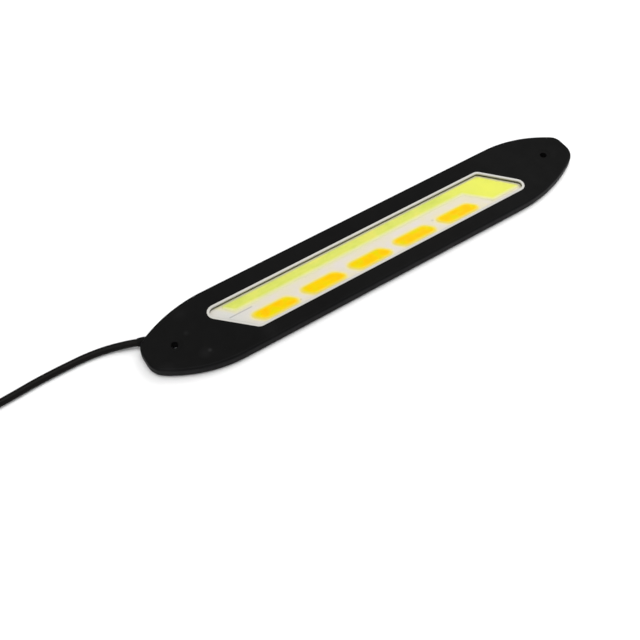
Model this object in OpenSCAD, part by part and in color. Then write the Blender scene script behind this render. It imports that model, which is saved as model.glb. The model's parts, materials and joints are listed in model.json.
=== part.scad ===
// Slim daytime running light with turn signal: a flat soft body, a slanted window with the
// light-emitting areas in it, two screw holes and a round cable. Lying face up, in millimetres.

/* [Body] */
// Length of the soft body
body_l = 210; // [190:1:240]
// Width of the soft body
body_w = 34.6; // [32:0.2:40]
// Thickness of the soft body
body_t = 4.3; // [4.1:0.1:6]
// Rounding of the body's front edge
edge_r = 1.2; // [0.6:0.1:1.6]
// Chamfer of the body's back edge
back_chamfer = 0.3; // [0.1:0.1:0.6]
// Length of the tapered ends, on average
taper_l = 34.8; // [30:0.2:40]
// Half width of the blunt ends, on average
end_w = 5.8; // [5:0.1:8]
// Corner radius of the blunt ends, on average
corner_r = 7.2; // [4:0.1:8]

/* [Screw holes] */
// Distance from a screw hole to the end of the body
hole_end_gap = 12.5; // [11:0.1:14]
// Shift of both holes from the body's centre line
hole_shift = 0.4; // [0:0.1:1]
// Radius of a screw hole
hole_r = 1.5; // [1.3:0.05:1.8]
// Radius of the shallow dish around a hole
dish_r = 3.6; // [3:0.1:4.5]
// Depth of the dish
dish_depth = 0.4; // [0.2:0.05:0.6]

/* [Window] */
// Distance from the window to the far side of the body
window_far_gap = 8.6; // [7:0.1:9.5]
// Distance from the window to the near side of the body
window_near_gap = 6.6; // [5.5:0.1:8]
// Distance from the middle of the left slanted end to the end of the body
window_left_gap = 34.5; // [33:0.1:38]
// Distance from the middle of the right slanted end to the end of the body
window_right_gap = 35.3; // [33:0.1:38]
// Slant of the left end, sideways per millimetre of height
left_slant = 1.02; // [0.8:0.01:1.1]
// Slant of the right end, sideways per millimetre of height
right_slant = 0.92; // [0.8:0.01:1.1]
// Corner radius of the window
window_corner_r = 3.5; // [2.4:0.1:4.5]
// Width of the trim ring
trim_w = 1.1; // [0.8:0.1:1.4]
// Thickness of the trim ring
trim_t = 0.3; // [0.2:0.05:0.5]
// Height of the trim ring above the body's face
trim_proud = 0.1; // [0.05:0.05:0.2]
// Thickness of the clear cover sheet
clear_t = 0.25; // [0.15:0.05:0.3]

/* [Lit areas] */
// Depth of the circuit board below the body's face
board_depth = 1.4; // [1.2:0.05:1.5]
// Thickness of the circuit board
board_t = 0.8; // [0.6:0.1:1]
// Thickness of a phosphor layer
phosphor_t = 0.3; // [0.25:0.05:0.4]
// Gap from the white band to the far edge of the opening
band_far_gap = 0.5; // [0.3:0.1:1]
// Gap from the white band to the left edge of the opening
band_left_gap = 6.6; // [4:0.1:9]
// Gap from the white block to the right edge of the opening
block_right_gap = 0.6; // [0.5:0.1:2]
// Gap from the white block to the near edge of the opening
block_near_gap = 1.55; // [1:0.05:2]
// Width of the white block
block_w = 17.2; // [13:0.1:18]
// Gap between the white band and the dashes
band_dash_gap = 4; // [3:0.1:5]
// Gap from the dashes to the near edge of the opening
dash_near_gap = 1.7; // [1:0.1:2]
// Gap from the first dash to the left edge of the opening
dash_left_gap = 5.8; // [4:0.1:8]
// Gap between two dashes
dash_gap = 6.1; // [5:0.1:9]
// Gap between the last dash and the white block
dash_block_gap = 6.4; // [5:0.1:9]
// Corner radius of a dash as a share of its height
dash_round = 0.15; // [0.1:0.01:0.4]

/* [Back] */
// Thickness of the release liner
liner_t = 0.15; // [0.1:0.05:0.2]
// Thickness of the adhesive foam
tape_t = 0.45; // [0.3:0.05:0.8]
// Length of the adhesive strip
tape_l = 150; // [120:1:160]
// Width of the adhesive strip
tape_w = 24; // [20:0.5:27]
// Thickness of the heat spreader
spreader_t = 0.8; // [0.6:0.1:1]
// Thickness of the back cover under the components
cover_base_t = 0.7; // [0.5:0.1:0.8]
// Clearance around parts that are dropped into the body
fit_gap = 0.1; // [0.05:0.05:0.2]

/* [Cable] */
// Diameter of the cable
cable_d = 3; // [2.6:0.1:3.2]
// Diameter of the insulated wires in the lamp
core_d = 1; // [0.8:0.1:1.2]
// Diameter of the bare end leads
lead_d = 1.2; // [1:0.1:1.3]
// Length of a tinned tip
tip_l = 6; // [4:0.5:8]
// Diameter of a tinned tip
tip_d = 0.8; // [0.6:0.1:0.9]
// Turns of the coil beside each other
coil_wide = 5; // [4:1:5]
// Turns of the coil on each other
coil_high = 2; // [2:1:2]
// Thickness of the tie around the coil
tie_t = 0.6; // [0.4:0.1:0.8]
// Width of the tie
tie_w = 3; // [2:0.5:4]

/* [Hidden] */
round_fn = 48;

// Levels from the surface that the lamp lies on
back_z = liner_t + tape_t;
face_z = back_z + body_t;
board_z = face_z - board_depth;
board_back_z = board_z - board_t;
spreader_z = board_back_z - spreader_t;
phosphor_z = board_z + phosphor_t;
trim_z = face_z + trim_proud - trim_t;
cable_z = back_z + body_t / 2;
core_z = board_back_z - core_d / 2 - 0.1;

// Plan of the window, the pocket behind it and the lit areas
half_l = body_l / 2;
half_w = body_w / 2;
// How the taper, the end and the corner radius of each quarter differ from the average, in the
// order far right, near right, near left, far left, because the soft body isn't quite even
uneven = [[-2.1, 0, -1.8], [4.5, -0.4, 1.1], [-0.8, -1, 1.1], [-1.5, 1.5, -0.4]];
hole_x = half_l - hole_end_gap;
window_far_y = half_w - window_far_gap;
window_near_y = -half_w + window_near_gap;
window_mid_y = (window_far_y + window_near_y) / 2;
lip_w = 1;
board_play = 0.25;
far_y = window_far_y - trim_w;
near_y = window_near_y + trim_w;
band_share = 0.52;
lit_room = far_y - near_y - band_far_gap - band_dash_gap - dash_near_gap;
band_h = lit_room * band_share;
dash_h = lit_room - band_h;
band_far_y = far_y - band_far_gap;
band_near_y = band_far_y - band_h;
band_mid_y = (band_far_y + band_near_y) / 2;
block_near_y = near_y + block_near_gap;
block_mid_y = (band_far_y + block_near_y) / 2;
block_h = band_far_y - block_near_y;
dash_y = near_y + dash_near_gap + dash_h / 2;
band_slant = 0.93;
lit_corner_r = 0.8;
block_slant = 1;
block_end_slant = 0.88;
dash_slant = 1.04;
band_left_x = left_x(band_mid_y, trim_w) + band_left_gap;
block_right_x = right_x(block_mid_y, trim_w) - block_right_gap;
block_left_x = block_right_x - block_w;
dash_count = 5;
dash_left_x = left_x(dash_y, trim_w) + dash_left_gap;
dash_right_x = slanted(block_left_x, block_slant, dash_y - block_mid_y) - dash_block_gap;
dash_l = (dash_right_x - dash_left_x - (dash_count - 1) * dash_gap) / dash_count;
dash_r = dash_round * dash_h;

// Chips under the phosphor, and the components behind the board
chip = [1, 0.6, 0.15];
band_chips = 26;
dash_chips = 4;
block_chip_row = block_h / 3.5;
electronics_l = 57;
electronics_x = -half_l + electronics_l;
joint_gap = 37;
joint_x = -half_l + joint_gap;
joint_y = window_mid_y - 1;
joint_pitch = (window_far_y - joint_y) / 3;
resistor = [3.2, 1.6, 0.6];
component_gap = 46;
resistor_x = -half_l + component_gap;
resistor_y = window_mid_y + 1;
resistor_step = [4.4, 3.4];
diode = [4.2, 2.6, 1.1];
diode_x = -half_l + component_gap;
diode_y = window_mid_y - 3.6;
diode_step = 5.6;

// The cable's route, from the body's far left corner: inside the body, out of its tapered side
// and along the surface to the coil
corner = [-half_l, half_w, 0];
route = [[9.5, -11, cable_z], [4.1, -8.3, cable_z], [0.5, -6.5, 2.55], [-3.1, -4.9, 2.1],
    [-7.3, -3.4, 1.7], [-12.3, -2.2, 1.5], [-18.3, -1.5, 1.5], [-25.3, -1.3, 1.5], [-32.3, -1.3, 1.5],
    [-39.3, -1.5, 1.5], [-46.3, -2, 1.5], [-53.3, -2.4, 1.5], [-60.3, -2.5, 1.5], [-68.3, -2.3, 1.6],
    [-76.3, -2, 1.9], [-84.3, -1.9, 2.1], [-92, -1.9, 2.1]];
// The far end of the cable, from the top of the coil down to the surface
tail = [[-92, -1.9, 5.1], [-98, -1.9, 5.1], [-104, -1.9, 4.4], [-109.5, -4.8, 3],
    [-114, -8.9, 1.9], [-117.3, -14.2, 1.5], [-119, -19.9, 1.5], [-119, -25.4, 1.5]];
cable_r = cable_d / 2;
seal_r = 2;
seal_in = 4.8;
seal_out = 3;
out_angle = atan2(route[2].y - route[1].y, route[2].x - route[1].x);
coil_turn_r = cable_d * 5.5;
coil_in_r = coil_turn_r - coil_wide * cable_d / 2;
coil_out_r = coil_turn_r + coil_wide * cable_d / 2;
coil_h = coil_high * cable_d;
route_end = route[len(route) - 1];
coil_center = corner + [route_end.x, route_end.y - (coil_out_r - cable_r), tie_t];
exit_l = norm(route[1] - route[0]) + 1;
channel_w = 4;
channel_start = [corner.x + 10.7, corner.y - 11.2];
channel_bend = [corner.x + 17, corner.y - 10.6];
channel_drop = 1.3;
channel_reach = 6.5;
channel_end_y = window_far_y - channel_drop;
channel_end = [left_x(channel_end_y, -lip_w) + channel_reach, channel_end_y];
tongue_t = 0.5;

core_names = ["black", "yellow", "white"];
core_colors = ["#151515", "#e6c229", "#e8e8e2"];
core_pitch = 1.3;
// Where each wire leaves the cable's end, across and up
core_seat = [[-0.72, -0.35], [0, 0.82], [0.72, -0.35]];

function unit(v) = v / norm(v);
function slanted(x, slant, up) = x - slant * up;
function left_x(y, inset) =
    slanted(-half_l + window_left_gap, left_slant, y - window_mid_y)
    + inset * sqrt(1 + left_slant * left_slant);
function right_x(y, inset) =
    slanted(half_l - window_right_gap, right_slant, y - window_mid_y)
    - inset * sqrt(1 + right_slant * right_slant);
function window_corners(inset) =
    let (t = window_far_y - inset, b = window_near_y + inset)
    [[left_x(t, inset), t], [left_x(b, inset), b], [right_x(b, inset), b], [right_x(t, inset), t]];
function arc(center, r, from, to, steps) =
    [for (i = [0:steps]) let (a = from + (to - from) * i / steps) center + r * [cos(a), sin(a)]];
function near_turn(a) = a > 180 ? a - 360 : a < -180 ? a + 360 : a;

// A polygon with every corner rounded to radius r
function rounded(p, r, steps = 6) =
    [for (i = [0:len(p) - 1])
        let (b = p[i], u = unit(p[(i + len(p) - 1) % len(p)] - b), v = unit(p[(i + 1) % len(p)] - b),
            half = acos(u * v) / 2, m = b + unit(u + v) * r / sin(half),
            s = b + u * r / tan(half) - m, e = b + v * r / tan(half) - m,
            from = atan2(s.y, s.x), to = from + near_turn(atan2(e.y, e.x) - from))
        each arc(m, r, from, to, steps)];

// The window's outline, moved inwards by inset
function window_outline(inset) = rounded(window_corners(inset), max(0.4, window_corner_r - inset));

// A quarter of the body's outline: a long arc from the parallel side, then a corner arc
function quarter(i, inset) =
    let (long = taper_l + uneven[i][0], end = end_w + uneven[i][1], round = corner_r + uneven[i][2],
        x = half_l - long, drop = half_w - end, r = (long * long + drop * drop) / (2 * drop),
        cx = half_l - round, cy = half_w - r + sqrt(pow(r - round, 2) - pow(cx - x, 2)),
        turn = atan2(cy - half_w + r, cx - x))
    concat(arc([x, half_w - r], r - inset, 90, turn, 14), arc([cx, cy], round - inset, turn, 0, 6));
function flipped(p, sx, sy) = [for (q = p) [sx * q.x, sy * q.y]];
function backwards(p) = [for (i = [len(p) - 1:-1:0]) p[i]];
function body_outline(inset) =
    backwards(concat(quarter(0, inset), backwards(flipped(quarter(1, inset), 1, -1)),
        flipped(quarter(2, inset), -1, -1), backwards(flipped(quarter(3, inset), -1, 1))));

// The directions across and up for a ring at point i of a path
function along(p, i) = unit(p[min(i + 1, len(p) - 1)] - p[max(i - 1, 0)]);
function across(t) = unit(cross(t, [0, 0, 1]));
function tube_ring(p, i, r, sides) =
    let (t = along(p, i), s = across(t), u = cross(s, t))
    [for (k = [0:sides - 1]) let (a = (k + 0.5) * 360 / sides) p[i] + r * (cos(a) * u + sin(a) * s)];

// A closed solid through rings that have the same number of points
module skin(rings) {
    n = len(rings[0]);
    last = (len(rings) - 1) * n;
    sides = [for (i = [0:len(rings) - 2], j = [0:n - 1])
        let (a = i * n + j, b = i * n + (j + 1) % n)
        each [[a, a + n, b], [b, a + n, b + n]]];
    polyhedron(
        points = [for (ring = rings) each ring],
        faces = concat([[for (j = [0:n - 1]) j]], [[for (j = [n - 1:-1:0]) last + j]], sides),
        convexity = 4);
}

// A round cord along the points p
module tube(p, d, sides = 8) {
    skin([for (i = [0:len(p) - 1]) tube_ring(p, i, d / 2 / cos(180 / sides), sides)]);
}

module plate(outline, z, t) {
    translate([0, 0, z]) linear_extrude(t) polygon(outline);
}

// The outline of a slot with round ends between two points in plan
function slot_outline(from, to, w) =
    let (a = atan2(to.y - from.y, to.x - from.x))
    concat(arc(from, w / 2, a + 90, a + 270, 10), arc(to, w / 2, a - 90, a + 90, 10));

// Places children at the cable's exit, with X pointing out of the body
module at_exit() {
    translate(corner + route[1]) rotate(out_angle) rotate([0, 90, 0]) children();
}

module soft_body() {
    skin(concat(
        [[for (q = body_outline(back_chamfer)) [q.x, q.y, back_z]],
         [for (q = body_outline(0)) [q.x, q.y, back_z + back_chamfer]]],
        [for (a = [0:18:90])
            [for (q = body_outline(edge_r * (1 - cos(a)))) [q.x, q.y, face_z - edge_r + edge_r * sin(a)]]]));
}

module housing() {
    color("#1c1c1c") difference() {
        soft_body();
        plate(window_outline(-lip_w), back_z - 1, board_z - back_z + 1);
        plate(window_outline(trim_w), back_z, body_t + 1);
        plate(window_outline(0), trim_z, trim_t + 1);
        plate(slot_outline(channel_start, channel_end, channel_w), back_z - 1, board_z - back_z + 0.6);
        plate(slot_outline(channel_start, channel_bend, channel_w), back_z, cable_z + cable_r + 0.1 - back_z);
        at_exit() translate([0, 0, -seal_in]) cylinder(r = seal_r, h = seal_in + exit_l, $fn = round_fn);
        at_exit() translate([0, 0, -exit_l]) cylinder(r = cable_r + 0.15, h = exit_l, $fn = round_fn);
        for (side = [-1, 1]) translate([side * hole_x, hole_shift, 0]) {
            translate([0, 0, back_z - 1]) cylinder(r = hole_r, h = body_t + 2, $fn = round_fn);
            translate([0, 0, face_z - dish_depth])
                cylinder(r1 = hole_r + 0.5, r2 = dish_r, h = dish_depth, $fn = round_fn);
        }
    }
}

// The cover that closes the pocket and the wire channel from behind
module back_cover() {
    color("#232323") union() {
        difference() {
            plate(window_outline(fit_gap - lip_w), back_z, spreader_z - back_z);
            translate([-half_l, -half_w, back_z + cover_base_t])
                cube([half_l + electronics_x, body_w, body_t]);
        }
        plate(slot_outline(channel_start, channel_end, channel_w - 2 * fit_gap), back_z, tongue_t);
    }
}

module strip(z, t) {
    w = tape_w / 2;
    l = tape_l / 2;
    plate(rounded([[-l, -w], [l, -w], [l, w], [-l, w]], 4), z, t);
}

module mounting_tape() {
    color("#8d9092") strip(liner_t, tape_t);
}

module tape_liner() {
    color("#b3262b") strip(0, liner_t);
}

module window_trim() {
    color("#c8c8c3") difference() {
        plate(window_outline(fit_gap / 2), trim_z, trim_t);
        plate(window_outline(trim_w), trim_z - 1, trim_t + 2);
    }
}

module clear_window() {
    color("#f4f6f680") plate(window_outline(trim_w + fit_gap), phosphor_z, clear_t);
}

module led_board() {
    color("#e2dedc") plate(window_outline(board_play - lip_w), board_back_z, board_t);
}

module heat_spreader() {
    color("#b9bcc0") intersection() {
        plate(window_outline(2 * board_play - lip_w), spreader_z, spreader_t);
        translate([electronics_x + 1, -half_w, 0]) cube([body_l, body_w, face_z]);
    }
}

// The joined outline of the white band and the block at its right end
function white_outline() =
    rounded([
        [slanted(band_left_x, band_slant, band_h / 2), band_far_y],
        [slanted(band_left_x, band_slant, -band_h / 2), band_near_y],
        [slanted(block_left_x, block_slant, band_near_y - block_mid_y), band_near_y],
        [slanted(block_left_x, block_slant, block_near_y - block_mid_y), block_near_y],
        [slanted(block_right_x, block_end_slant, block_near_y - block_mid_y), block_near_y],
        [slanted(block_right_x, block_end_slant, band_far_y - block_mid_y), band_far_y]], lit_corner_r);

module white_chip_places() {
    step = (block_left_x - band_left_x) / band_chips;
    for (i = [0:band_chips - 1]) translate([band_left_x + (i + 0.5) * step, band_mid_y, board_z]) children();
    for (row = [-1:1], i = [0:2])
        translate([slanted(block_left_x, block_slant, row * block_chip_row) + (i + 0.5) * block_w / 3,
            block_mid_y + row * block_chip_row, board_z]) children();
}

module led_chip() {
    translate([-chip.x / 2, -chip.y / 2, 0]) cube(chip);
}

module white_phosphor() {
    color("#e6ec78") difference() {
        plate(white_outline(), board_z, phosphor_t);
        white_chip_places() led_chip();
    }
}

module white_led_chips() {
    color("#5f7fbf") white_chip_places() led_chip();
}

function dash_x(i) = dash_left_x + dash_l / 2 + (i - 1) * (dash_l + dash_gap);
function dash_outline() =
    let (h = dash_h / 2, l = dash_l / 2, s = dash_slant * h)
    rounded([[-l - s, h], [-l + s, -h], [l + s, -h], [l - s, h]], dash_r);

module amber_chip_places() {
    for (i = [0:dash_chips - 1])
        translate([(i + 0.5 - dash_chips / 2) * dash_l / dash_chips, 0, board_z]) children();
}

module amber_phosphor(i) {
    color("#fcc708") translate([dash_x(i), dash_y, 0]) difference() {
        plate(dash_outline(), board_z, phosphor_t);
        amber_chip_places() led_chip();
    }
}

module amber_led_chips(i) {
    color("#7f7fbf") translate([dash_x(i), dash_y, 0]) amber_chip_places() led_chip();
}

function joint_at(i) = [joint_x, joint_y + joint_pitch * i];

// A solder joint on the back of the board
module solder(i) {
    joint_h = board_back_z - core_z + core_d / 2;
    color("#a9adb0") translate([joint_at(i).x, joint_at(i).y, board_back_z - joint_h])
        cylinder(r1 = 0.8, r2 = 1.25, h = joint_h, $fn = 24);
}

// A wire from the cable's end through the channel to its solder joint
module core(i) {
    seat = core_seat[i];
    out = [cos(out_angle), sin(out_angle), 0];
    side = [-out.y, out.x, 0];
    start = corner + route[0] - side * seat.x + [0, 0, seat.y];
    lane = (i - 1) * core_pitch;
    mouth = [channel_end.x - 2, channel_end.y - 0.2 + lane, core_z];
    away = unit(concat(joint_at(i), core_z) - mouth);
    color(core_colors[i]) tube([start, start - out, [channel_bend.x, channel_bend.y - 0.1 + lane, core_z],
        mouth, concat(joint_at(i), core_z) - away * 1.3], core_d, 6);
}

module behind_board(x, y, size) {
    translate([x - size.x / 2, y - size.y / 2, board_back_z - size.z]) cube(size);
}

module resistor_part(i) {
    color("#262626") behind_board(resistor_x + resistor_step.x * (i % 2),
        resistor_y + resistor_step.y * floor(i / 2), resistor);
}

module diode_part(i) {
    color("#303030") behind_board(diode_x + diode_step * i, diode_y, diode);
}

// The soft sleeve that seals the cable into the body and flares around it outside
module cable_seal() {
    color("#202020") difference() {
        union() {
            at_exit() translate([0, 0, -seal_in]) cylinder(r = seal_r, h = seal_in, $fn = round_fn);
            at_exit() cylinder(r1 = seal_r, r2 = cable_r + 0.15, h = seal_out, $fn = round_fn);
        }
        tube([for (p = route) corner + p], cable_d);
    }
}

module cable() {
    color("#1a1a1a") tube([for (p = route) corner + p], cable_d);
}

module cable_tail() {
    color("#1a1a1a") tube([for (p = tail) corner + p], cable_d);
}

// The outer shape of the wound cable, notched where the cable runs in and out of it
module cable_coil() {
    notch_l = sqrt(coil_out_r * coil_out_r - pow(coil_out_r - cable_d, 2)) + 1;
    color("#1a1a1a") translate(coil_center) difference() {
        rotate_extrude($fn = 96) translate([coil_in_r, 0]) square([coil_out_r - coil_in_r, coil_h]);
        translate([0, coil_out_r - cable_d - 0.2, -1]) cube([notch_l, cable_d + 2, cable_d + 1.1]);
        translate([-notch_l, coil_out_r - cable_d - 0.2, cable_d - 1.4])
            cube([notch_l, cable_d + 2, cable_d + 2.4]);
    }
}

module cable_tie() {
    w = coil_out_r - coil_in_r + 0.4;
    color("#111111") translate([coil_center.x - tie_w / 2, coil_center.y - coil_out_r - 0.2, 0]) difference() {
        translate([0, -tie_t, 0]) cube([tie_w, w + 2 * tie_t, coil_h + 2 * tie_t]);
        translate([-1, 0, tie_t]) cube([tie_w + 2, w, coil_h]);
    }
}

// The route of a bare end lead, fanning out on the surface
function lead_path(i) =
    let (from = corner + tail[len(tail) - 1], seat = core_seat[i], fan = i - 1, z = lead_d / 2)
    [from + [seat.x, 0, seat.y], from + [seat.x, -1, seat.y], from + [1.6 * seat.x, -3, 0.9 * seat.y],
     [from.x + 1.7 * fan, from.y - 6.5, z + 0.15], [from.x + 2.9 * fan, from.y - 11.5, z],
     [from.x + 3.8 * fan + 0.4, from.y - 17, z], [from.x + 3.6 * fan + 1.2, from.y - 22, z]];

module lead(i) {
    color(core_colors[i]) tube(lead_path(i), lead_d);
}

module lead_tip(i) {
    p = lead_path(i);
    end = p[len(p) - 1];
    way = along(p, len(p) - 1);
    color("#c2c4c6") translate(end) rotate(atan2(way.y, way.x)) rotate([0, 90, 0])
        cylinder(d = tip_d, h = tip_l, $fn = 24);
}

housing();
back_cover();
mounting_tape();
tape_liner();
window_trim();
clear_window();
led_board();
heat_spreader();
white_phosphor();
white_led_chips();
for (i = [1:dash_count]) {
    amber_phosphor(i);
    amber_led_chips(i);
}
for (i = [0:2]) {
    solder(i);
    core(i);
    lead(i);
    lead_tip(i);
}
for (i = [0:3]) resistor_part(i);
for (i = [0:1]) diode_part(i);
cable_seal();
cable();
cable_coil();
cable_tail();
cable_tie();
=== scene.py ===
import json
import math

import bmesh
import bpy
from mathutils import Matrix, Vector


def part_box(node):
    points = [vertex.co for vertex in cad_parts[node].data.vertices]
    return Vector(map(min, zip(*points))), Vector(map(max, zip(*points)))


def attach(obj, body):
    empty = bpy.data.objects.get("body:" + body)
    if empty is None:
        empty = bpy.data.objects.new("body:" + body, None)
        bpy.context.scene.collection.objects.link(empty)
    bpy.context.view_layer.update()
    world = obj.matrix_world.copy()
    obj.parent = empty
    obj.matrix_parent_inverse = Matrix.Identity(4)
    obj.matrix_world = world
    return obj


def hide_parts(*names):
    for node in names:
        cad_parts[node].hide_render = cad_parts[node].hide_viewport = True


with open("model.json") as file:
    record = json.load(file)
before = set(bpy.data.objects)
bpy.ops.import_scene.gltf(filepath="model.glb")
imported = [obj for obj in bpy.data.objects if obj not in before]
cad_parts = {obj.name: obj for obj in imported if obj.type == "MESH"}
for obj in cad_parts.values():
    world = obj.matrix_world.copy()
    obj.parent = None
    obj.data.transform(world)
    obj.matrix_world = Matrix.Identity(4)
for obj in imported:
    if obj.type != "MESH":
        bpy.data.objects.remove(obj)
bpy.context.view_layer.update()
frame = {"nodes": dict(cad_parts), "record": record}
scene = bpy.context.scene
scene.view_settings.view_transform = "Standard"
MM = 0.001

# Camera, as fitted to the lamp's outline, window corners and screw holes
SENSOR = 36
PHOTO_PIXELS, FOCAL_PIXELS = 640, 915.27
AZIMUTH, ELEVATION = math.radians(-32.98), math.radians(55.53)
AIM = Vector((-37.74, -17.60, 0)) * MM
DISTANCE = 0.3628


def make_camera():
    data = bpy.data.cameras.new("camera")
    data.sensor_width = SENSOR
    data.lens = FOCAL_PIXELS / PHOTO_PIXELS * SENSOR
    data.clip_start = 0.01
    data.clip_end = 20
    cam = bpy.data.objects.new("camera", data)
    level = math.cos(ELEVATION)
    back = Vector((math.sin(AZIMUTH) * level, -math.cos(AZIMUTH) * level, math.sin(ELEVATION)))
    cam.location = AIM + back * DISTANCE
    cam.rotation_euler = (math.pi / 2 - ELEVATION, 0, AZIMUTH)
    scene.collection.objects.link(cam)
    scene.camera = cam


make_camera()

# The cable's route, the same points as in the part's source, in millimetres from the body's far
# left corner
CORNER = Vector((-105, 17.3, 0))
ROUTE = [(9.5, -11, 2.75), (4.1, -8.3, 2.75), (0.5, -6.5, 2.55), (-3.1, -4.9, 2.1),
         (-7.3, -3.4, 1.7), (-12.3, -2.2, 1.5), (-18.3, -1.5, 1.5), (-25.3, -1.3, 1.5),
         (-32.3, -1.3, 1.5), (-39.3, -1.5, 1.5), (-46.3, -2, 1.5), (-53.3, -2.4, 1.5),
         (-60.3, -2.5, 1.5), (-68.3, -2.3, 1.6), (-76.3, -2, 1.9), (-84.3, -1.9, 2.1),
         (-92, -1.9, 2.1)]
TAIL = [(-92, -1.9, 5.1), (-98, -1.9, 5.1), (-104, -1.9, 4.4), (-109.5, -4.8, 3),
        (-114, -8.9, 1.9), (-117.3, -14.2, 1.5), (-119, -19.9, 1.5), (-119, -25.4, 1.5)]
CABLE_R = 1.5
COIL = Vector((-197, -7.1, 0.6))
OUTER_TURN, INNER_TURN = 22.5, 10.5
LOWER_TURNS, UPPER_TURNS = 4, 3.75
TURN_STEPS, HOP_STEPS = 20, 6

# Where each lead leaves the cable's end, across and up
LEAD_SEATS = {"black": (-0.72, -0.35), "yellow": (0, 0.82), "white": (0.72, -0.35)}
LEAD_R = 0.6


def coil_points():
    """The turns between the route's last point and the tail's first one, in millimetres: inwards
    on the surface, up over a quarter turn, and outwards on top."""
    low, high = COIL.z + CABLE_R, COIL.z + 3 * CABLE_R
    start = 90
    pts = []
    for i in range(1, LOWER_TURNS * TURN_STEPS + 1):
        turns = i / TURN_STEPS
        pts.append((start + 360 * turns, OUTER_TURN - 2 * CABLE_R * turns, low))
    hop = start + 360 * LOWER_TURNS
    for i in range(1, HOP_STEPS + 1):
        u = i / HOP_STEPS
        pts.append((hop + 90 * u, INNER_TURN, low + (high - low) * (3 * u * u - 2 * u ** 3)))
    steps = int(UPPER_TURNS * TURN_STEPS)
    for i in range(1, steps):
        u = i / steps
        pts.append((hop + 90 + 360 * UPPER_TURNS * u, INNER_TURN + (OUTER_TURN - INNER_TURN) * u, high))
    return [COIL + Vector((r * math.cos(math.radians(a)), r * math.sin(math.radians(a)), z - COIL.z))
            for a, r, z in pts]


def round_cord(name, pts, radius, between=4):
    """A round cord through points in millimetres. The bevel is 1, so a point's radius is the cord's."""
    curve = bpy.data.curves.new(name, "CURVE")
    curve.dimensions = "3D"
    curve.bevel_depth = 1
    curve.bevel_resolution = 5
    curve.resolution_u = between
    curve.use_fill_caps = True
    spline = curve.splines.new("BEZIER")
    spline.bezier_points.add(len(pts) - 1)
    for b, p in zip(spline.bezier_points, pts):
        b.co = p * MM
        b.radius = radius * MM
        b.handle_left_type = b.handle_right_type = "AUTO"
    cord = bpy.data.objects.new(name, curve)
    scene.collection.objects.link(cord)
    return cord


# Modelling by hand: what a maker does to a primitive in edit mode
UPRIGHT = 0.95
BLUNT_LEAST, BLUNT_MOST, SHARP_LEAST = 0.5, 1.7, 2
WELD = 0.002
FLAT_ENOUGH = math.radians(0.3)


def only(piece):
    """Selects one piece and nothing else."""
    bpy.ops.object.select_all(action="DESELECT")
    piece.select_set(True)
    bpy.context.view_layer.objects.active = piece
    return piece


def added(name):
    """Names the primitive just added and applies its place, turn and scale."""
    piece = only(bpy.context.active_object)
    piece.name = piece.data.name = name
    bpy.ops.object.transform_apply(location=True, rotation=True, scale=True)
    return piece


def add_block(name, middle, size):
    """A block with its middle and its size in millimetres."""
    bpy.ops.object.select_all(action="DESELECT")
    bpy.ops.mesh.primitive_cube_add(size=1, location=[v * MM for v in middle], scale=[v * MM for v in size])
    return added(name)


def open_mesh(piece):
    only(piece)
    bpy.ops.object.mode_set(mode="EDIT")
    bpy.ops.mesh.select_all(action="DESELECT")


def close_mesh():
    bpy.ops.object.mode_set(mode="OBJECT")


def pick(kind, test):
    """Selects the vertices, edges or faces of the open mesh that pass the test, which gets the
    middle in millimetres, the normal or an edge's direction, and the element."""
    bpy.ops.mesh.select_mode(type=kind)
    bpy.ops.mesh.select_all(action="DESELECT")
    mesh = bmesh.from_edit_mesh(bpy.context.edit_object.data)
    mesh.normal_update()
    for part in {"VERT": mesh.verts, "EDGE": mesh.edges, "FACE": mesh.faces}[kind]:
        if kind == "VERT":
            middle, way = part.co / MM, part.normal
        elif kind == "EDGE":
            a, b = (v.co for v in part.verts)
            middle, way = (a + b) / 2 / MM, (b - a).normalized()
        else:
            middle, way = part.calc_center_median() / MM, part.normal
        if test(middle, way, part):
            part.select_set(True)
    mesh.select_flush_mode()
    bmesh.update_edit_mesh(bpy.context.edit_object.data)


def move(x=0, y=0, z=0):
    bpy.ops.transform.translate(value=(x * MM, y * MM, z * MM))


def extrude(x=0, y=0, z=0):
    bpy.ops.mesh.extrude_region_move(TRANSFORM_OT_translate={"value": (x * MM, y * MM, z * MM)})


def inset(thickness):
    bpy.ops.mesh.inset(thickness=thickness * MM)


def soften(size, segments=3):
    bpy.ops.mesh.bevel(offset=size * MM, segments=segments, affect="EDGES")


def face_outwards(piece):
    open_mesh(piece)
    bpy.ops.mesh.select_all(action="SELECT")
    bpy.ops.mesh.normals_make_consistent(inside=False)
    close_mesh()


def join(pieces):
    """Joins pieces into the first one and points all faces outwards."""
    only(pieces[0])
    for piece in pieces:
        piece.select_set(True)
    bpy.ops.object.join()
    face_outwards(pieces[0])


def smooth(piece, angle=35):
    """Smooth shading that keeps large flat faces flat."""
    only(piece)
    bpy.ops.object.shade_smooth_by_angle(angle=math.radians(angle))
    even = piece.modifiers.new("even", "WEIGHTED_NORMAL")
    even.keep_sharp = True
    bpy.ops.object.modifier_apply(modifier="even")
    return piece


def is_rim(part):
    """True for an edge between a flat top and a wall."""
    z = sorted(f.normal.z for f in part.link_faces)
    return len(z) == 2 and z[1] > 0.95 and z[0] < 0.5


def is_corner(part, way, sharp=False):
    """True for an upright edge where two walls meet at a blunt corner, or at a sharp one."""
    turn = part.calc_face_angle(0)
    return abs(way.z) > UPRIGHT and (turn > SHARP_LEAST if sharp else BLUNT_LEAST < turn < BLUNT_MOST)


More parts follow.
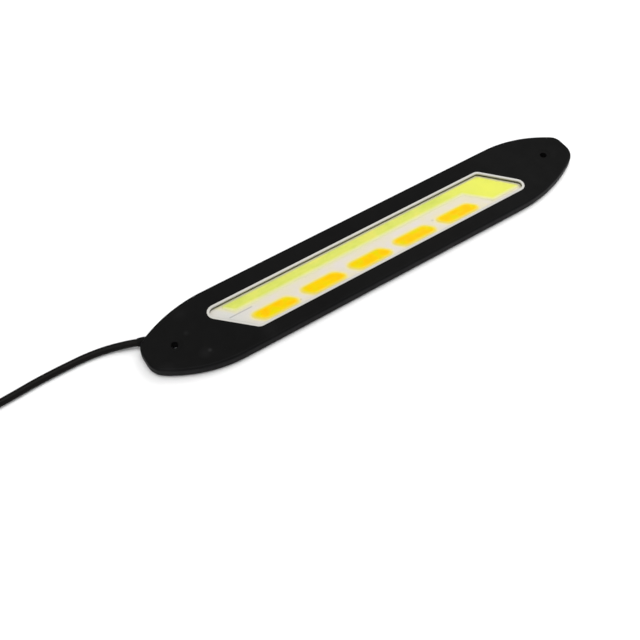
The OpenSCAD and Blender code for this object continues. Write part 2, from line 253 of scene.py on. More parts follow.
def pillow(reach):
    """Lets the flat top of a gel fall off softly, over reach millimetres along its rim."""
    half, steep, gentle = reach / 2, 0.17, 0.11
    pick("FACE", lambda m, way, part: way.z > 0.99)
    move(z=-0.28)
    for rise in (steep, gentle):
        inset(half)
        move(z=rise)


def settle(piece, nodes, slot):
    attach(piece, "root")
    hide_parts(*nodes)
    piece.data.materials.clear()
    piece.data.materials.append(FINISH[slot])
    return piece


def merged_copy(node, name):
    """A copy of one of the lamp's solids with its triangles joined into one skin."""
    only(frame["nodes"][node])
    bpy.ops.object.duplicate()
    piece = only(bpy.context.active_object)
    piece.name = piece.data.name = name
    for key in list(piece.keys()):
        del piece[key]
    open_mesh(piece)
    bpy.ops.mesh.select_all(action="SELECT")
    bpy.ops.mesh.remove_doubles(threshold=WELD * MM)
    bpy.ops.mesh.dissolve_limited(angle_limit=FLAT_ENOUGH)
    close_mesh()
    return piece


def levels(node):
    """The heights of a solid's foot and top, in millimetres."""
    low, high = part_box(node)
    return round(low[2] / MM, 3), round(high[2] / MM, 3)


# The light band with its block, and the five dashes: places along X and Y at the middle of each
# height, slants sideways per millimetre of height, and roundings, in millimetres
BOARD_Z, GEL_Z = levels("white_phosphor")
BAND_FAR, BAND_NEAR, BLOCK_NEAR = 7.1, 1.38, -8.05
BAND_LEFT, BLOCK_LEFT, BLOCK_RIGHT = -67.67, 49.92, 67.12
BAND_SLANT, BLOCK_SLANT, BLOCK_END_SLANT = 0.93, 1.0, 0.88
BAND_MIDDLE, BLOCK_MIDDLE = (BAND_FAR + BAND_NEAR) / 2, (BAND_FAR + BLOCK_NEAR) / 2
BAND_BLUNT, BAND_SHARP, BAND_SOFT = 0.9, 3.6, 0.75
DASHES = 5
DASH_L, DASH_H, DASH_SLANT = 19.2, 6.3, 1.04
DASH_BLUNT, DASH_SHARP, DASH_SOFT = 1.9, 5.6, 1.1


# Finishes
def new_finish(name, colour, roughness, specular=0.5):
    """A material with its plain values on the shader's own sockets."""
    mat = bpy.data.materials.new(name)
    mat.use_nodes = True
    shader = mat.node_tree.nodes["Principled BSDF"]
    shader.inputs["Base Color"].default_value = (*colour, 1)
    shader.inputs["Roughness"].default_value = roughness
    shader.inputs["Specular IOR Level"].default_value = specular
    return mat, mat.node_tree, shader


def add(tree, kind, **values):
    """A node with its settings and the values of its inputs."""
    node = tree.nodes.new(kind)
    for key, value in values.items():
        if hasattr(node, key):
            setattr(node, key, value)
        else:
            node.inputs[key.replace("_", " ")].default_value = value
    return node


def place(tree):
    return add(tree, "ShaderNodeTexCoord").outputs["Object"]


def plan(tree):
    """Where a point lies along X and along Y, in metres."""
    at = add(tree, "ShaderNodeSeparateXYZ")
    tree.links.new(place(tree), at.inputs[0])
    return at.outputs[0], at.outputs[1]


def spots(tree, scale, detail=2.0, rough=0.5, stretch=None):
    """Noise on Object coordinates, in spots a metre."""
    node = add(tree, "ShaderNodeTexNoise", Scale=scale, Detail=detail, Roughness=rough)
    source = place(tree)
    if stretch:
        squeeze = add(tree, "ShaderNodeMapping", Scale=stretch)
        tree.links.new(source, squeeze.inputs["Vector"])
        source = squeeze.outputs["Vector"]
    tree.links.new(source, node.inputs["Vector"])
    return node.outputs["Fac"]


def cells(tree, scale, randomness=1.0):
    """How far a point lies from the nearest of scattered points, in points a metre."""
    node = add(tree, "ShaderNodeTexVoronoi", Scale=scale, Randomness=randomness)
    tree.links.new(place(tree), node.inputs["Vector"])
    return node.outputs["Distance"]


def ramp(tree, source, stops):
    """Colours or greys along a 0 to 1 value."""
    node = add(tree, "ShaderNodeValToRGB")
    tree.links.new(source, node.inputs["Fac"])
    el = node.color_ramp.elements
    while len(el) < len(stops):
        el.new(0.5)
    for e, (at, colour) in zip(el, stops):
        e.position = at
        e.color = (*colour, 1) if hasattr(colour, "__len__") else (colour, colour, colour, 1)
    return node.outputs["Color"]


def math_of(tree, operation, a, b=None, c=None):
    node = add(tree, "ShaderNodeMath", operation=operation)
    for i, v in enumerate((a, b, c)):
        if v is None:
            continue
        if isinstance(v, (int, float)):
            node.inputs[i].default_value = v
        else:
            tree.links.new(v, node.inputs[i])
    return node.outputs[0]


def plus(tree, a, b):
    return math_of(tree, "ADD", a, b)


def minus(tree, a, b):
    return math_of(tree, "SUBTRACT", a, b)


def times(tree, a, b):
    return math_of(tree, "MULTIPLY", a, b)


def size_of(tree, a):
    return math_of(tree, "ABSOLUTE", a)


def mixed(tree, share, a, b):
    """From colour a to colour b by share."""
    node = add(tree, "ShaderNodeMix", data_type="RGBA")
    tree.links.new(share, node.inputs[0])
    for socket, v in ((node.inputs[6], a), (node.inputs[7], b)):
        if isinstance(v, tuple):
            socket.default_value = (*v, 1)
        else:
            tree.links.new(v, socket)
    return node.outputs[2]


def span(tree, value, low, high):
    """0 at low and 1 at high, both in millimetres."""
    node = add(tree, "ShaderNodeMapRange", From_Min=low * MM, From_Max=high * MM)
    tree.links.new(value, node.inputs["Value"])
    return node.outputs["Result"]


def patch(tree, x, y, reach, soft=1.0, z=4.9):
    """1 at a place on the lamp, in millimetres, falling to 0 at reach."""
    away = add(tree, "ShaderNodeVectorMath", operation="SUBTRACT")
    tree.links.new(place(tree), away.inputs[0])
    away.inputs[1].default_value = (x * MM, y * MM, z * MM)
    length = add(tree, "ShaderNodeVectorMath", operation="LENGTH")
    tree.links.new(away.outputs["Vector"], length.inputs[0])
    return span(tree, length.outputs["Value"], reach, reach * (1 - soft))


def paint(tree, shader, colour):
    tree.links.new(colour, shader.inputs["Base Color"])


def polish(tree, shader, source, low, high):
    """Roughness that varies between two values."""
    tree.links.new(ramp(tree, source, [(0.3, low), (0.7, high)]), shader.inputs["Roughness"])


def bump(tree, shader, height, strength, depth):
    """Relief with its depth in millimetres."""
    node = add(tree, "ShaderNodeBump", Strength=strength, Distance=depth * MM)
    tree.links.new(height, node.inputs["Height"])
    tree.links.new(node.outputs["Normal"], shader.inputs["Normal"])


# Scuffs and dust on the soft body: x, y and reach in millimetres, and strength
SCUFFS = [(-82.3, -9.2, 1.1, 0.45), (-84.4, -9.4, 3.2, 0.12), (-86.3, 2.6, 1.4, 0.18),
          (-84.5, 12.0, 4.0, 0.08), (-100.5, -8.6, 4.5, 0.1), (-58.0, -13.8, 5.0, 0.08)]
DUST = (0.035, 0.035, 0.036)


def moulded_silicone(name, dark, light, roughness, specular):
    """Silicone in two close tones, with gathered specks of dust, the scuffs and a fine grain."""
    mat, tree, shader = new_finish(name, dark, roughness, specular)
    tone = ramp(tree, spots(tree, 22, 3, 0.6), [(0.3, dark), (0.75, light)])
    specks = ramp(tree, cells(tree, 420), [(0.04, 1.0), (0.09, 0.0)])
    gather = ramp(tree, spots(tree, 60, 2), [(0.55, 0.0), (0.72, 1.0)])
    dust = times(tree, times(tree, specks, gather), 0.35)
    for x, y, reach, strength in SCUFFS:
        dust = plus(tree, dust, times(tree, patch(tree, x, y, reach), strength))
    paint(tree, shader, mixed(tree, math_of(tree, "MINIMUM", dust, 1.0), tone, DUST))
    polish(tree, shader, spots(tree, 180, 4), roughness - 0.05, roughness + 0.05)
    bump(tree, shader, spots(tree, 2600, 2), 0.22, 0.15)
    return mat


def plain(name, colour, roughness, specular=0.5, vary=1.12):
    """One colour that varies a little, with a fine grain."""
    mat, tree, shader = new_finish(name, colour, roughness, specular)
    other = tuple(min(1, c * vary) for c in colour)
    paint(tree, shader, ramp(tree, spots(tree, 120, 3), [(0.3, colour), (0.7, other)]))
    bump(tree, shader, spots(tree, 900, 2), 0.15, 0.1)
    return mat


# The board's white where the light of the band and of the dashes spills over their rims, painted as
# colour; the band's pale rim, painted a little lighter still; and how far its colour runs on past the
# sides that the ring hides
BAND_GLOW = (0.67, 0.635, 0.44)
DASH_GLOW = (0.75, 0.66, 0.3)
# The gel's pale thin rim, a little lighter than the spill: painted light that offsets the shade on its
# sloping edge
PALE_RIM_PAINTED_LIGHTER = tuple(c * 1.07 for c in BAND_GLOW)
FAR_SPILL, RIGHT_SPILL = 0.9, 0.7

# How softly the sides of a gel run into each other, and what a dash's rounding takes off its
# sharp tips as a share of the rounding
BAND_BLEND, DASH_BLEND, TIP_BLEND = 0.8, 2.2, 2.4
TIP_LOSS = 0.586


def side_line(x, y, slant, inwards):
    """A slanted end through a point: the normal that points into the gel, and its offset."""
    run = inwards / math.hypot(1, slant)
    return run, slant * run, -(x + slant * y) * run


def depth_inside(tree, sides):
    """How far a point lies inside straight sides, each a normal and an offset in millimetres."""
    x, y = plan(tree)
    least = None
    for nx, ny, offset in sides:
        far = plus(tree, plus(tree, times(tree, x, nx), times(tree, y, ny)), offset * MM)
        least = far if least is None else math_of(tree, "SMOOTH_MIN", least, far, BAND_BLEND * MM)
    return least


def band_depth(tree):
    """How far a point lies inside the light band and its block, in metres."""
    far = (0, -1, BAND_FAR + FAR_SPILL)
    right = side_line(BLOCK_RIGHT + RIGHT_SPILL, BLOCK_MIDDLE, BLOCK_END_SLANT, -1)
    band_left = side_line(BAND_LEFT, BAND_MIDDLE, BAND_SLANT, 1)
    block_left = side_line(BLOCK_LEFT, BLOCK_MIDDLE, BLOCK_SLANT, 1)
    band = depth_inside(tree, [far, (0, 1, -BAND_NEAR), right, band_left])
    block = depth_inside(tree, [far, (0, 1, -BLOCK_NEAR), right, block_left])
    return math_of(tree, "MAXIMUM", band, block)


def dash_depth(tree):
    """How far a point lies inside the nearest of the five dashes, in metres."""
    x, y = plan(tree)
    first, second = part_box("amber_phosphor_1"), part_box("amber_phosphor_2")
    middle = (Vector(first[0]) + Vector(first[1])) / 2
    pitch = second[0][0] - first[0][0]
    along = plus(tree, x, times(tree, y, DASH_SLANT))
    dash = math_of(tree, "DIVIDE", minus(tree, along, middle.x + DASH_SLANT * middle.y), pitch)
    nearest = math_of(tree, "MAXIMUM", math_of(tree, "ROUND", dash), 0.0)
    nearest = math_of(tree, "MINIMUM", nearest, DASHES - 1)
    u = times(tree, minus(tree, dash, nearest), pitch)
    v = minus(tree, y, middle.y)
    end = math_of(tree, "DIVIDE", minus(tree, DASH_L / 2 * MM, size_of(tree, u)), math.hypot(1, DASH_SLANT))
    side = minus(tree, DASH_H / 2 * MM, size_of(tree, v))
    # The rounded sharp tips, cut off square to the line that halves them
    half = math.atan2(1, DASH_SLANT) / 2
    nx, ny = math.cos(half), -math.sin(half)
    reach = nx * (DASH_L + DASH_SLANT * DASH_H) / 2 - ny * DASH_H / 2 - TIP_LOSS * DASH_SHARP * nx
    across = plus(tree, times(tree, u, nx), times(tree, v, ny - DASH_SLANT * nx))
    tip = minus(tree, reach * MM, size_of(tree, across))
    sides = math_of(tree, "SMOOTH_MIN", end, side, DASH_BLEND * MM)
    return math_of(tree, "SMOOTH_MIN", sides, tip, TIP_BLEND * MM)


def white_gel_finish():
    """Pale yellow green gel, greener and yellower in patches, and thin and pale along its rim, where
    painted light also offsets the shade of the sloping edge.
    """
    mat, tree, shader = new_finish("white_light", (0.65, 0.68, 0.14), 0.5, 0.05)
    tone = ramp(tree, spots(tree, 130, 3, 0.6, (1, 1.6, 1)),
                [(0.3, (0.55, 0.62, 0.1)), (0.5, (0.62, 0.66, 0.125)), (0.7, (0.69, 0.67, 0.13))])
    tone = mixed(tree, patch(tree, 60, 0, 26, z=GEL_Z), tone, (0.72, 0.74, 0.1))
    chips = ramp(tree, cells(tree, 230, 0.55), [(0.05, 0.16), (0.2, 0.0)])
    gel = mixed(tree, chips, tone, (0.36, 0.38, 0.08))
    # The rim's colour carries painted light against the shade of the gel's sloping edge
    paint(tree, shader, mixed(tree, span(tree, band_depth(tree), 0, 1.9), PALE_RIM_PAINTED_LIGHTER, gel))
    bump(tree, shader, spots(tree, 260, 2), 0.25, 0.2)
    return mat


def amber_gel_finish():
    """Amber gel, deeper amber where it is thick and yellower along the rim of each dash."""
    mat, tree, shader = new_finish("amber_light", (0.8, 0.52, 0.003), 0.5, 0.0)
    cloud = ramp(tree, spots(tree, 210, 1, 0.5), [(0.4, 0.0), (0.62, 1.0)])
    deep = mixed(tree, cloud, (0.74, 0.6, 0.002), (0.92, 0.5, 0.002))
    depth = dash_depth(tree)
    rim = ramp(tree, span(tree, depth, -0.2, 1.8),
               [(0.0, DASH_GLOW), (0.25, (0.77, 0.65, 0.15)),
                (0.6, (0.76, 0.62, 0.06)), (0.9, (0.76, 0.6, 0.004))])
    paint(tree, shader, mixed(tree, span(tree, depth, 0.35, 1.5), rim, deep))
    bump(tree, shader, spots(tree, 260, 2), 0.25, 0.2)
    return mat


# The thin bare line on the board, and its small dark spots: x, y and reach in millimetres, and
# strength
LINE_X, LINE_Y = -63.2, 0.5
DARK_SPOTS = [(28.7, -2.6, 0.55, 0.5), (-39.9, -7.1, 0.5, 0.35), (56.9, -7.7, 0.5, 0.3)]


def board_finish():
    """White solder mask with the painted spill of the gels' light around them, the bare line and the dark
    spots.
    """
    mat, tree, shader = new_finish("board", (0.66, 0.615, 0.5), 0.42, 0.12)
    tone = ramp(tree, spots(tree, 150, 3, 0.6), [(0.35, (0.68, 0.63, 0.46)), (0.65, (0.67, 0.62, 0.57))])
    tone = mixed(tree, patch(tree, -68, 0, 15, z=BOARD_Z), tone, (0.6, 0.6, 0.57))
    # Painted spill of the band's and the dashes' light on the board beside them
    tone = mixed(tree, span(tree, band_depth(tree), -1.0, 0.0), tone, BAND_GLOW)
    tone = mixed(tree, span(tree, dash_depth(tree), -1.0, -0.1), tone, DASH_GLOW)
    x, y = plan(tree)
    beside = size_of(tree, minus(tree, y, LINE_Y * MM))
    along = size_of(tree, minus(tree, x, LINE_X * MM))
    line = times(tree, span(tree, beside, 0.34, 0.16), span(tree, along, 5.3, 4.9))
    dark = times(tree, line, 0.5)
    for spot_x, spot_y, reach, strength in DARK_SPOTS:
        spot = patch(tree, spot_x, spot_y, reach, 0.8, BOARD_Z)
        dark = plus(tree, dark, times(tree, spot, strength))
    paint(tree, shader, mixed(tree, dark, tone, (0.2, 0.19, 0.19)))
    bump(tree, shader, spots(tree, 1500, 2), 0.08, 0.05)
    return mat


def foam_finish():
    """Closed-cell foam: pores between paler walls, with painted shade darkening their hollows."""
    mat, tree, shader = new_finish("foam", (0.22, 0.23, 0.24), 0.95, 0.2)
    pores = cells(tree, 3200)
    # The pores are painted darker: painted shade inside the open cells
    paint(tree, shader, ramp(tree, pores, [(0.1, (0.1, 0.105, 0.11)), (0.5, (0.25, 0.26, 0.27))]))
    bump(tree, shader, pores, 0.7, 0.1)
    return mat


def sheath_finish(name, colour, light, roughness, specular):
    """Extruded insulation: smooth, with faint scuffs."""
    mat, tree, shader = new_finish(name, colour, roughness, specular)
    paint(tree, shader, ramp(tree, spots(tree, 140, 3, 0.6), [(0.35, colour), (0.75, light)]))
    polish(tree, shader, spots(tree, 400, 3), roughness - 0.06, roughness + 0.08)
    bump(tree, shader, spots(tree, 1200, 2), 0.12, 0.1)
    return mat


def rolled_sheet(name, colour):
    """Aluminium sheet with the long grain of its rolling."""
    mat, tree, shader = new_finish(name, colour, 0.36)
    shader.inputs["Metallic"].default_value = 1
    grain = spots(tree, 60, 3, 0.6, (1, 40, 40))
    paint(tree, shader, ramp(tree, grain, [(0.3, colour), (0.7, tuple(c * 1.2 for c in colour))]))
    bump(tree, shader, grain, 0.1, 0.05)
    return mat


def tinned(name):
    """Dull tin with small lighter and darker runs."""
    mat, tree, shader = new_finish(name, (0.5, 0.51, 0.52), 0.34)
    shader.inputs["Metallic"].default_value = 1
    runs = spots(tree, 900, 3)
    paint(tree, shader, ramp(tree, runs, [(0.3, (0.42, 0.43, 0.44)), (0.7, (0.6, 0.61, 0.62))]))
    bump(tree, shader, spots(tree, 1500, 2), 0.3, 0.1)
    return mat


def clear_sheet(name):
    """A thin clear sheet, all but unseen."""
    mat, _, shader = new_finish(name, (0.05, 0.05, 0.05), 0.12)
    shader.inputs["Alpha"].default_value = 0.03
    return mat


FINISH = {
    "soft_body": moulded_silicone(
        "soft_body", (0.0034, 0.0034, 0.0034), (0.0052, 0.0052, 0.0051), 0.75, 0.055),
    "soft_cover": plain("soft_cover", (0.012, 0.012, 0.012), 0.6, 0.25),
    "foam": foam_finish(),
    "liner": plain("liner", (0.5, 0.02, 0.025), 0.3),
    "trim": plain("trim", (0.5, 0.49, 0.455), 0.5, 0.2, vary=1.06),
    "clear": clear_sheet("clear"),
    "board": board_finish(),
    "spreader": rolled_sheet("spreader", (0.6, 0.61, 0.62)),
    "white_light": white_gel_finish(),
    "amber_light": amber_gel_finish(),
    "chip": plain("chip", (0.15, 0.25, 0.5), 0.2),
    "solder": tinned("solder"),
    "wire_black": sheath_finish("wire_black", (0.012, 0.012, 0.012), (0.018, 0.018, 0.018), 0.38, 0.35),
    "wire_white": sheath_finish("wire_white", (0.66, 0.66, 0.62), (0.74, 0.74, 0.7), 0.4, 0.4),
    "wire_yellow": sheath_finish("wire_yellow", (0.72, 0.47, 0.03), (0.78, 0.53, 0.05), 0.4, 0.4),
    "component": plain("component", (0.03, 0.03, 0.03), 0.45),
    "cable_sheath": sheath_finish(
        "cable_sheath", (0.0036, 0.0032, 0.003), (0.006, 0.0055, 0.005), 0.45, 0.07),
    "tie": plain("tie", (0.006, 0.006, 0.006), 0.4, 0.2),
}
BODY_WALLS = moulded_silicone(
    "soft_body_walls", (0.0034, 0.0034, 0.0036), (0.0048, 0.0048, 0.005), 0.55, 0.075)
# The opening's walls are black silicone painted a dull olive: painted yellow light from the gels, standing
# in for the shaded gel beside the walls
OPENING_WALLS_PAINTED_GEL_LIGHT = moulded_silicone(
    "soft_body_opening_painted_gel_light", (0.05, 0.051, 0.024), (0.06, 0.062, 0.03), 0.35, 0.5)


def finish_solids():
    """Gives every solid of the lamp the finish that the record names for it."""
    for part in frame["record"]["subparts"]:
        materials = frame["nodes"][part["node"]].data.materials
        materials.clear()
        materials.append(FINISH[part["material_slot"]])


finish_solids()

# The soft body and the ring around the window, each as one smooth skin, in millimetres
HOLE_X, HOLE_Y, DISH_REACH = 92.5, 0.4, 4.2
WINDOW_MIDDLE_Y, WINDOW_REACH, WINDOW_RATIO = -1, 80, 8
RING_FOOT, RING_TOP = levels("window_trim")
LIP_T, LIP_DROP, RING_SOFT = 0.05, 0.25, 0.07
NEARLY = 0.01


def faces_window(m, way):
    """True for an upright face that looks towards the middle of the window."""
    return abs(way.z) < 0.3 and way.x * m.x + WINDOW_RATIO * way.y * (m.y - WINDOW_MIDDLE_Y) < 0


def in_dish(m):
    return math.hypot(abs(m.x) - HOLE_X, m.y - HOLE_Y) <= DISH_REACH


def finish_picked(skin, slot):
    skin.active_material_index = slot
    bpy.ops.object.material_slot_assign()


def make_body_skin():
    """The grained top, the smoother rounded edge and walls, and the opening's glossier walls, painted olive
    with the gels' light.
    """
    skin = settle(merged_copy("housing", "body_skin"), ["housing"], "soft_body")
    skin.data.materials.append(BODY_WALLS)
    skin.data.materials.append(OPENING_WALLS_PAINTED_GEL_LIGHT)
    open_mesh(skin)
    pick("FACE", lambda m, way, part: abs(way.z) < 0.97 and not in_dish(m))
    finish_picked(skin, 1)
    pick("FACE", lambda m, way, part: faces_window(m, way) and abs(m.x) < WINDOW_REACH and m.z > BOARD_Z)
    finish_picked(skin, 2)
    close_mesh()
    return smooth(skin, 40)


def make_ring():
    """The pale ring, with a thin lip that turns down into the window."""
    ring = merged_copy("window_trim", "window_ring")
    open_mesh(ring)
    pick("FACE", lambda m, way, part: faces_window(m, way))
    bpy.ops.mesh.extrude_region_shrink_fatten(TRANSFORM_OT_shrink_fatten={"value": LIP_T * MM})
    pick("VERT", lambda m, way, part: m.z < RING_FOOT + NEARLY and any(
        faces_window(f.calc_center_median() / MM, f.normal) for f in part.link_faces))
    move(z=-LIP_DROP)
    pick("EDGE", lambda m, way, part: m.z > RING_TOP - NEARLY and is_rim(part))
    soften(RING_SOFT, 2)
    close_mesh()
    return settle(smooth(ring), ["window_trim"], "trim")


def round_gel(blunt, blunt_steps, sharp, sharp_steps, soft):
    """Rounds the upright edges of the open gel and lets its top fall off along the rim."""
    pick("EDGE", lambda m, way, part: is_corner(part, way))
    soften(blunt, blunt_steps)
    pick("EDGE", lambda m, way, part: is_corner(part, way, sharp=True))
    soften(sharp, sharp_steps)
    pillow(soft)


def make_white_gel():
    """A slanted bar, cut where the block starts, with the block drawn out of its near side."""
    middle = ((BAND_LEFT + BLOCK_RIGHT) / 2, BAND_MIDDLE, (BOARD_Z + GEL_Z) / 2)
    size = (BLOCK_RIGHT - BAND_LEFT, BAND_FAR - BAND_NEAR, GEL_Z - BOARD_Z)
    gel = add_block("white_gel", middle, size)
    open_mesh(gel)
    for y in (BAND_NEAR, BAND_FAR):
        pick("VERT", lambda m, way, part: m.x < 0 and abs(m.y - y) < NEARLY)
        move(x=-BAND_SLANT * (y - BAND_MIDDLE))
        pick("VERT", lambda m, way, part: m.x > 0 and abs(m.y - y) < NEARLY)
        move(x=-BLOCK_END_SLANT * (y - BLOCK_MIDDLE))
    bpy.ops.mesh.select_all(action="SELECT")
    bpy.ops.mesh.bisect(plane_co=(BLOCK_LEFT * MM, BLOCK_MIDDLE * MM, 0), plane_no=(1, BLOCK_SLANT, 0))
    pick("FACE", lambda m, way, part: way.y < -0.9 and m.x > BLOCK_LEFT)
    drop = BAND_NEAR - BLOCK_NEAR
    extrude(x=BLOCK_SLANT * drop, y=-drop)
    pick("VERT", lambda m, way, part: m.y < BLOCK_NEAR + NEARLY and m.x > BLOCK_RIGHT)
    move(x=(BLOCK_END_SLANT - BLOCK_SLANT) * drop)
    bpy.ops.mesh.select_all(action="SELECT")
    bpy.ops.mesh.dissolve_limited(angle_limit=0.01)
    round_gel(BAND_BLUNT, 5, BAND_SHARP, 12, BAND_SOFT)
    close_mesh()
    return settle(smooth(gel), ["white_phosphor"], "white_light")


def make_first_dash():
    """A slanted block with its two sharp tips rounded far more than its blunt corners."""
    low, high = (Vector(corner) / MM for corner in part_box("amber_phosphor_1"))
    at = (low + high) / 2
    dash = add_block("amber_gel_1", (at.x, at.y, (BOARD_Z + GEL_Z) / 2), (DASH_L, DASH_H, GEL_Z - BOARD_Z))
    open_mesh(dash)
    for side in (-1, 1):
        pick("VERT", lambda m, way, part: (m.y - at.y) * side > 0)
        move(x=-DASH_SLANT * side * DASH_H / 2)
    round_gel(DASH_BLUNT, 6, DASH_SHARP, 16, DASH_SOFT)
    close_mesh()
    return smooth(dash)


def make_dashes():
    first = make_first_dash()
    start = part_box("amber_phosphor_1")[0][0]
    dashes = [first]
    for i in range(2, DASHES + 1):
        only(first)
        bpy.ops.object.duplicate()
        bpy.context.active_object.location.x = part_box(f"amber_phosphor_{i}")[0][0] - start
        dashes.append(added(f"amber_gel_{i}"))
    for i, dash in enumerate(dashes, 1):
        settle(dash, [f"amber_phosphor_{i}"], "amber_light")


make_body_skin()
make_ring()
make_white_gel()
make_dashes()

# The sleeve around the cable's exit: how far it reaches in and out, and its radius at places
# along the part outside, in millimetres
EXIT = CORNER + Vector(ROUTE[1])
OUT = Vector((ROUTE[2][0] - ROUTE[1][0], ROUTE[2][1] - ROUTE[1][1], 0)).normalized()
SLEEVE_R, SLEEVE_IN, SLEEVE_OUT = 2, 4.8, 3.0
SLEEVE_TAPER = [(0.6, SLEEVE_R), (1.2, 1.97), (1.8, 1.88), (2.4, 1.77), (SLEEVE_OUT, 1.66)]
SLEEVE_LIP, SLEEVE_HOLLOW = 0.12, 0.5


def make_sleeve():
    middle = EXIT + OUT * (SLEEVE_OUT - SLEEVE_IN) / 2
    bpy.ops.object.select_all(action="DESELECT")
    bpy.ops.mesh.primitive_cylinder_add(
        vertices=48, radius=SLEEVE_R * MM, depth=(SLEEVE_IN + SLEEVE_OUT) * MM,
        location=middle * MM, rotation=(0, math.pi / 2, math.atan2(OUT.y, OUT.x)))
    sleeve = added("cable_sleeve")
    open_mesh(sleeve)
    for away, _ in SLEEVE_TAPER[:-1]:
        bpy.ops.mesh.select_all(action="SELECT")
        bpy.ops.mesh.bisect(plane_co=(EXIT + OUT * away) * MM, plane_no=OUT)
    for away, r in SLEEVE_TAPER[1:]:
        pick("VERT", lambda m, way, part: abs((m - EXIT).dot(OUT) - away) < 0.05)
        share = r / SLEEVE_R
        bpy.ops.transform.resize(value=(share, share, share), center_override=(EXIT + OUT * away) * MM)
    pick("FACE", lambda m, way, part: way.dot(OUT) > 0.99)
    inset(SLEEVE_LIP)
    extrude(*(OUT * -SLEEVE_HOLLOW))
    close_mesh()
    return settle(smooth(sleeve, 50), ["cable_seal"], "soft_body")


# The tie: how far its strap reaches from the coil's middle, its sizes, and its head
TIE_OUTSIDE, TIE_INSIDE, TIE_TOP = 22.9, 9.2, 7.2
TIE_W, STRAP_T, STRAP_ROUND = 3, 0.5, 1.6
HEAD_SIZE, HEAD_Z, HEAD_AWAY = (4.2, 2.6, 3.4), 3.6, 1.1
HEAD_WALL, HEAD_SINK = 0.5, 0.5
CUT_SHOULDER, CUT_END = 0.9, 1.6


def make_strap(near, far):
    strap = add_block("nylon_tie", (COIL.x, (near + far) / 2, TIE_TOP / 2), (TIE_W, far - near, TIE_TOP))
    open_mesh(strap)
    pick("FACE", lambda m, way, part: abs(way.x) > 0.9)
    bpy.ops.mesh.delete(type="ONLY_FACE")
    pick("EDGE", lambda m, way, part: abs(way.x) > 0.9)
    soften(STRAP_ROUND, 6)
    close_mesh()
    wall = strap.modifiers.new("wall", "SOLIDIFY")
    wall.thickness = STRAP_T * MM
    wall.offset = -1
    bpy.ops.object.modifier_apply(modifier="wall")
    return strap


def make_tie():
    """A nylon strap around the turns, with its head and its cut tail in the coil's hole."""
    near, far = COIL.y - TIE_OUTSIDE, COIL.y - TIE_INSIDE
    tie = make_strap(near, far)
    head = add_block("tie_head", (COIL.x, far + HEAD_AWAY, HEAD_Z), HEAD_SIZE)
    open_mesh(head)
    pick("FACE", lambda m, way, part: way.z > 0.9)
    inset(HEAD_WALL)
    extrude(z=-HEAD_SINK)
    pick("FACE", lambda m, way, part: way.z < -0.9)
    inset(CUT_SHOULDER)
    extrude(z=-CUT_END)
    pick("EDGE", lambda m, way, part: is_corner(part, way))
    soften(0.15, 2)
    close_mesh()
    join([tie, head])
    return settle(smooth(tie), ["cable_tie"], "tie")


# The bare end: strands of a lead, laid around a middle one, in millimetres
STRAND_R, LAY_R, STRAND_SIDES, STRANDS_AROUND = 0.132, 0.265, 8, 6
TWIST_STEPS, TWIST_STEP, TWIST_TURN = 12, 0.5, math.radians(22)
MIDDLE_STRAND = 6.1


def lead_path(fan, seat):
    """A lead's route from inside the sheath's end, fanning out on the surface."""
    sx, sz = seat
    x, y, z = CORNER + Vector(TAIL[-1])
    return [Vector(p) for p in (
        (x + sx, y + 1.5, z + sz), (x + sx, y - 1, z + sz), (x + 1.6 * sx, y - 3, z + 0.9 * sz),
        (x + 1.7 * fan, y - 6.5, 0.75), (x + 2.9 * fan, y - 11.5, LEAD_R),
        (x + 3.8 * fan + 0.4, y - 17, LEAD_R), (x + 3.6 * fan + 1.2, y - 22, LEAD_R))]


def make_strands():
    """Seven tinned strands, six of them laid around one, along +X from the origin."""
    lying = (0, math.pi / 2, 0)
    bpy.ops.object.select_all(action="DESELECT")
    bpy.ops.mesh.primitive_circle_add(vertices=STRAND_SIDES, radius=STRAND_R * MM, fill_type="NGON",
                                      location=(0, LAY_R * MM, 0), rotation=lying)
    strand = added("strands")
    open_mesh(strand)
    for i in range(TWIST_STEPS):
        pick("FACE", lambda m, way, part: abs(m.x - i * TWIST_STEP) < NEARLY and abs(way.x) > 0.8)
        extrude(x=TWIST_STEP)
        bpy.ops.transform.rotate(value=TWIST_TURN, orient_axis="X",
                                 center_override=((i + 1) * TWIST_STEP * MM, 0, 0))
    close_mesh()
    parts = [strand]
    for k in range(1, STRANDS_AROUND):
        only(strand)
        bpy.ops.object.duplicate()
        bpy.context.active_object.rotation_euler.x = math.radians(360 / STRANDS_AROUND * k)
        parts.append(added(f"strand_{k}"))
    bpy.ops.object.select_all(action="DESELECT")
    bpy.ops.mesh.primitive_cylinder_add(
        vertices=STRAND_SIDES, radius=STRAND_R * MM, depth=MIDDLE_STRAND * MM,
        location=(MIDDLE_STRAND / 2 * MM, 0, 0), rotation=lying)
    parts.append(added("strand_middle"))
    join(parts)
    return smooth(strand, 50)


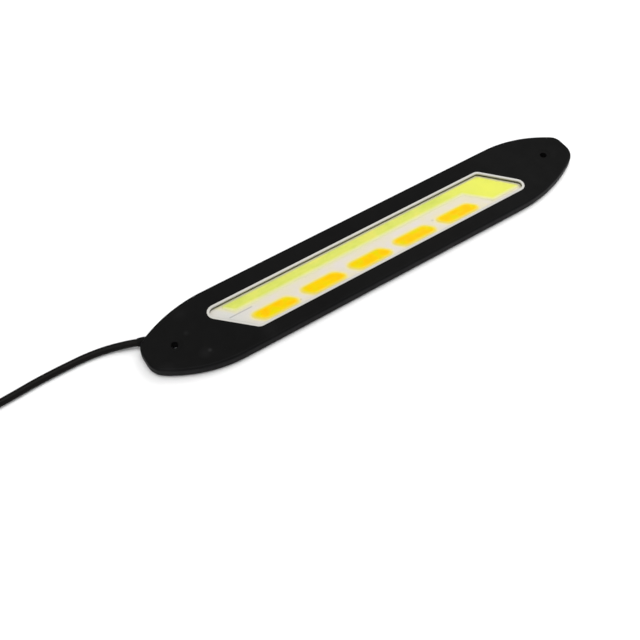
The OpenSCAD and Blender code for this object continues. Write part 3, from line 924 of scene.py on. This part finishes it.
def make_leads():
    """The three leads, each with its own tinned strands."""
    pieces = []
    strands = make_strands()
    for fan, (colour, seat) in enumerate(LEAD_SEATS.items(), -1):
        path = lead_path(fan, seat)
        lead = round_cord(f"lead_{colour}_sheath", path, LEAD_R, 8)
        pieces.append(settle(lead, [f"lead_{colour}"], f"wire_{colour}"))
        way = (path[-1] - path[-2]).normalized()
        only(strands)
        bpy.ops.object.duplicate()
        tip = bpy.context.active_object
        tip.location = path[-1] * MM
        tip.rotation_euler.z = math.atan2(way.y, way.x)
        pieces.append(settle(added(f"tinned_end_{colour}"), [f"lead_tip_{colour}"], "solder"))
    bpy.data.objects.remove(strands)
    return pieces


def make_cable():
    pts = [CORNER + Vector(p) for p in ROUTE[1:]] + coil_points() + [CORNER + Vector(p) for p in TAIL]
    cord = round_cord("cable_cord", pts, CABLE_R)
    settle(cord, ["cable", "cable_coil", "cable_tail"], "cable_sheath")
    make_sleeve()
    make_tie()
    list(make_leads())


make_cable()

# Floor and light: sizes and places in metres, power in watts
FLOOR_SIZE, FLOOR_WHITE = 3, (0.9, 0.9, 0.9)
ROOM_LIGHT = 0.35
LIGHTS = {"above": ((0, 0, 1.2), 0.8, 9), "behind": ((0.75, 0.3, 0.8), 0.7, 6),
          "left": ((-0.6, -0.6, 0.8), 0.6, 2.5)}


def make_floor():
    bpy.ops.object.select_all(action="DESELECT")
    bpy.ops.mesh.primitive_plane_add(size=FLOOR_SIZE)
    floor = added("floor")
    mat, _, _ = new_finish("floor_white", FLOOR_WHITE, 0.8)
    floor.data.materials.append(mat)


def area_light(name, where, size, power):
    """A soft square light that faces the lamp."""
    data = bpy.data.lights.new(name, "AREA")
    data.energy = power
    data.size = size
    light = bpy.data.objects.new(name, data)
    light.location = where
    light.rotation_euler = (-Vector(where)).to_track_quat("-Z", "Y").to_euler()
    scene.collection.objects.link(light)


def light_room(strength):
    world = bpy.data.worlds.new("studio")
    scene.world = world
    world.use_nodes = True
    world.node_tree.nodes["Background"].inputs["Color"].default_value = (1, 1, 1, 1)
    world.node_tree.nodes["Background"].inputs["Strength"].default_value = strength


make_floor()
light_room(ROOM_LIGHT)
for name, (where, size, power) in LIGHTS.items():
    area_light(name, where, size, power)

bpy.context.view_layer.update()
